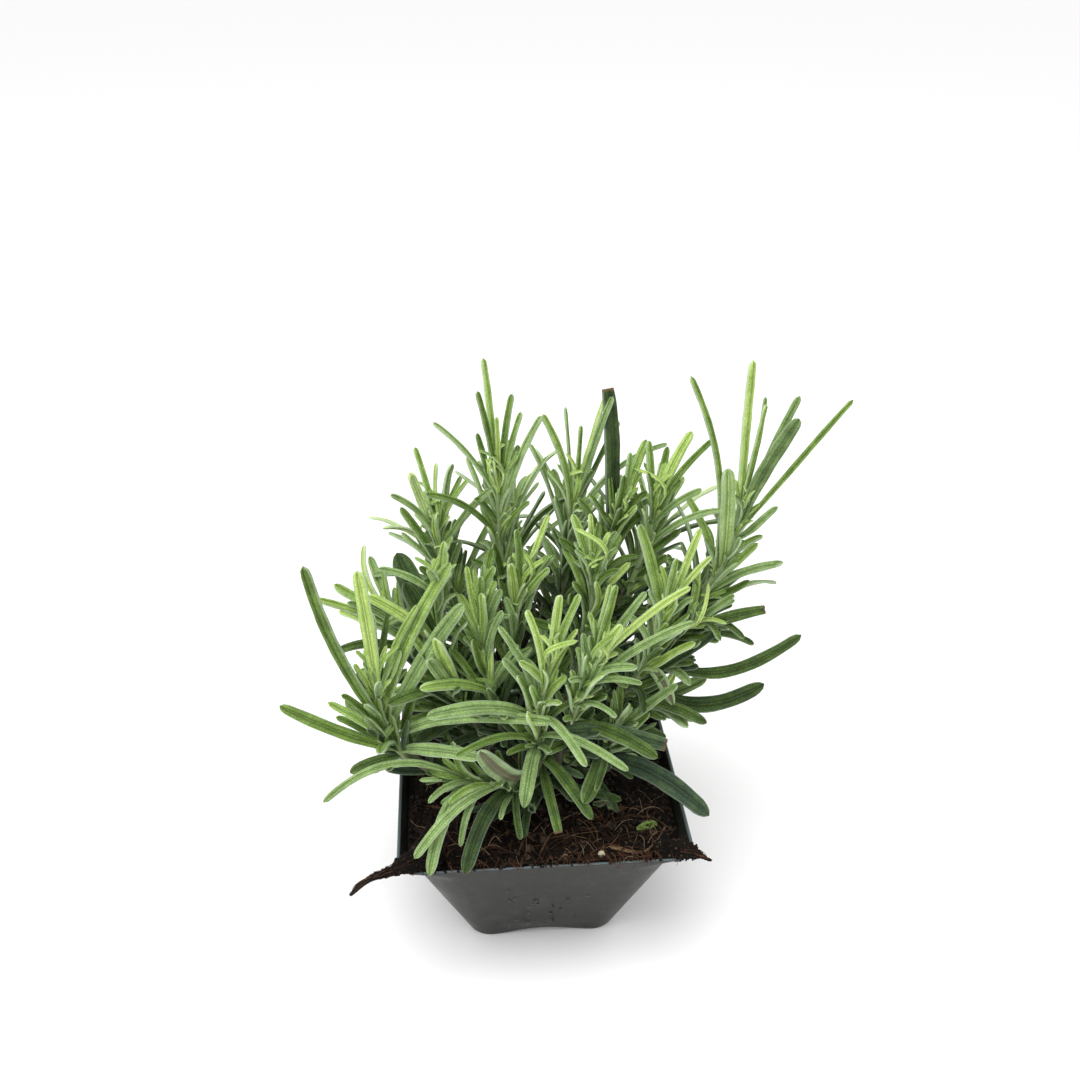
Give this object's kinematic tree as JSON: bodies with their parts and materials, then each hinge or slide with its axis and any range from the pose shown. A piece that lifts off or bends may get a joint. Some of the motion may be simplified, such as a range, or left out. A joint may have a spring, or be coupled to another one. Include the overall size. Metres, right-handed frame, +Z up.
{
  "type": "potted lavender",
  "caption": "Young lavender plant with narrow grey-green leaves on branching shoots, growing in soil in a small square plastic nursery pot.",
  "frame": {"origin": "middle of the flat panel under the pot, on the surface the pot stands on", "axes": "+Z up; -Y is the front, which the arching leaf and the long rim of bare soil face; +X to the right seen from the front"},
  "size_m": [0.149, 0.1084, 0.165],
  "materials": {
    "pot": "satin dark grey thermoformed plastic",
    "soil": "damp dark potting soil with fibres",
    "wood": "rough grey-brown bark",
    "shoot": "soft green living shoot, felted",
    "leaf": "soft green leaf, felted",
    "root": "dark fibrous root",
    "grain": "cream grain"
  },
  "bodies": {
    "root": {"crown": "wood", "fallen_leaf": "leaf", "grain": "grain", "leaf_big_dark": "leaf", "leaf_broad_back": "leaf", "leaf_broad_front": "leaf", "leaf_broad_left": "leaf", "leaf_crossing": "leaf", "leaf_dead": "leaf", "leaf_front_stub": "leaf", "leaf_left_arching": "leaf", "leaf_over_rim": "leaf", "leaf_over_rim_left": "leaf", "leaf_right_cut": "leaf", "leaf_right_long": "leaf", "leaf_right_low": "leaf", "leaf_scrap": "leaf", "leaf_underside": "leaf", "pot": "pot", "root_fibre": "root", "root_left": "root", "root_right": "root", "shoot_back_centre": "shoot", "shoot_back_left": "shoot", "shoot_back_right": "shoot", "shoot_back_tall": "shoot", "shoot_centre": "shoot", "shoot_centre_left": "shoot", "shoot_front": "shoot", "shoot_front_low": "shoot", "shoot_front_right": "shoot", "shoot_inner_left": "shoot", "shoot_left": "shoot", "shoot_low_left": "shoot", "shoot_low_rear": "shoot", "shoot_low_right": "shoot", "shoot_low_side": "shoot", "shoot_mid_left": "shoot", "shoot_mid_right": "shoot", "shoot_rear": "shoot", "shoot_rear_left": "shoot", "shoot_rear_mid": "shoot", "shoot_rear_right": "shoot", "shoot_right": "shoot", "shoot_right_front": "shoot", "shoot_right_tall": "shoot", "shoot_side_left": "shoot", "shoot_side_right": "shoot", "soil": "soil"}
  },
  "joints": []
}
